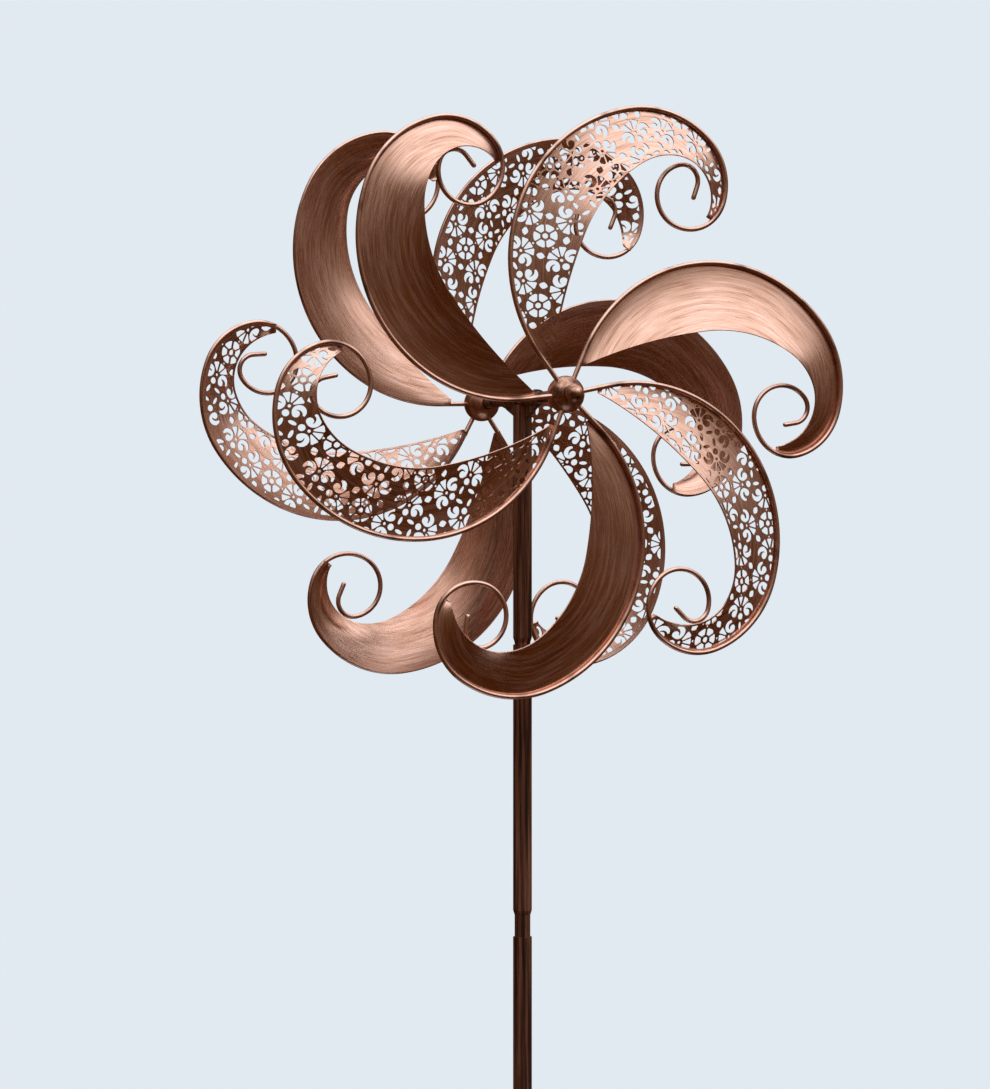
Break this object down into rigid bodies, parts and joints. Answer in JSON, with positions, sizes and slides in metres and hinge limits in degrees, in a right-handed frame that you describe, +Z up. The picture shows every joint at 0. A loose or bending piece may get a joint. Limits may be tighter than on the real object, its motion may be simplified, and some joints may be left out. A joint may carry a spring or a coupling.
{
  "type": "wind spinner",
  "caption": "Garden wind spinner: independent contra-rotating rotors of solid and pierced scroll blades on ball-bearing hubs, on a sectional pole with a pronged ground stake.",
  "frame": {"origin": "ground line on the pole's axis, where the centre spike leaves the step bar", "axes": "+Z up along the pole, +Y from the front rotor to the rear rotor along the axle, +X to the right seen from the front"},
  "size_m": [0.6104, 0.2784, 2.1071],
  "materials": {
    "blade_solid": "antique copper patina brushed in lengthwise streaks",
    "blade_lace": "antique copper patina on pierced sheet",
    "scroll_wire": "brushed antique copper, brighter along the outside",
    "hub": "antique copper with dark hollows",
    "hub_inside": "dark painted steel",
    "bright_steel": "ground steel",
    "pole": "dark bronze paint with copper streaks",
    "stake": "dark bronze paint, scuffed"
  },
  "bodies": {
    "stand": {"axle_rod": "bright_steel", "cross_tube": "pole", "cross_tube_bushes": "bright_steel", "axle_set_screws": "bright_steel", "head_gussets": "pole", "pole_section_1": "pole", "pole_section_2": "pole", "pole_section_3": "pole", "pole_section_4": "pole", "stake_tube": "stake", "step_bar": "stake", "centre_spike": "stake", "side_spikes": "stake", "front_bearing_inner_rings": "bright_steel", "front_bearing_spacer": "bright_steel", "front_axle_spacer": "hub_inside", "front_washer": "bright_steel", "front_cap_nut": "hub", "rear_bearing_inner_rings": "bright_steel", "rear_bearing_spacer": "bright_steel", "rear_axle_spacer": "hub_inside", "rear_washer": "bright_steel", "rear_cap_nut": "hub"},
    "front_rotor": {"front_hub_core": "hub_inside", "front_hub_dome": "hub", "front_hub_back": "hub", "front_bearing_outer_rings": "bright_steel", "front_bearing_balls": "bright_steel", "front_scroll_wire_1": "scroll_wire", "front_scroll_wire_2": "scroll_wire", "front_scroll_wire_3": "scroll_wire", "front_scroll_wire_4": "scroll_wire", "front_scroll_wire_5": "scroll_wire", "front_scroll_wire_6": "scroll_wire", "front_solid_blade_1": "blade_solid", "front_lace_blade_2": "blade_lace", "front_solid_blade_3": "blade_solid", "front_lace_blade_4": "blade_lace", "front_solid_blade_5": "blade_solid", "front_lace_blade_6": "blade_lace"},
    "rear_rotor": {"rear_hub_core": "hub_inside", "rear_hub_dome": "hub", "rear_hub_back": "hub", "rear_bearing_outer_rings": "bright_steel", "rear_bearing_balls": "bright_steel", "rear_scroll_wire_1": "scroll_wire", "rear_scroll_wire_2": "scroll_wire", "rear_scroll_wire_3": "scroll_wire", "rear_scroll_wire_4": "scroll_wire", "rear_scroll_wire_5": "scroll_wire", "rear_scroll_wire_6": "scroll_wire", "rear_solid_blade_1": "blade_solid", "rear_lace_blade_2": "blade_lace", "rear_solid_blade_3": "blade_solid", "rear_lace_blade_4": "blade_lace", "rear_solid_blade_5": "blade_solid", "rear_lace_blade_6": "blade_lace"}
  },
  "joints": [
    {"name": "front_rotor_spin", "type": "hinge", "parent": "stand", "child": "front_rotor", "pos_m": [0, -0.109, 1.6], "axis": [0, 1, 0], "continuous": true},
    {"name": "rear_rotor_spin", "type": "hinge", "parent": "stand", "child": "rear_rotor", "pos_m": [0, 0.109, 1.6], "axis": [0, 1, 0], "continuous": true}
  ]
}
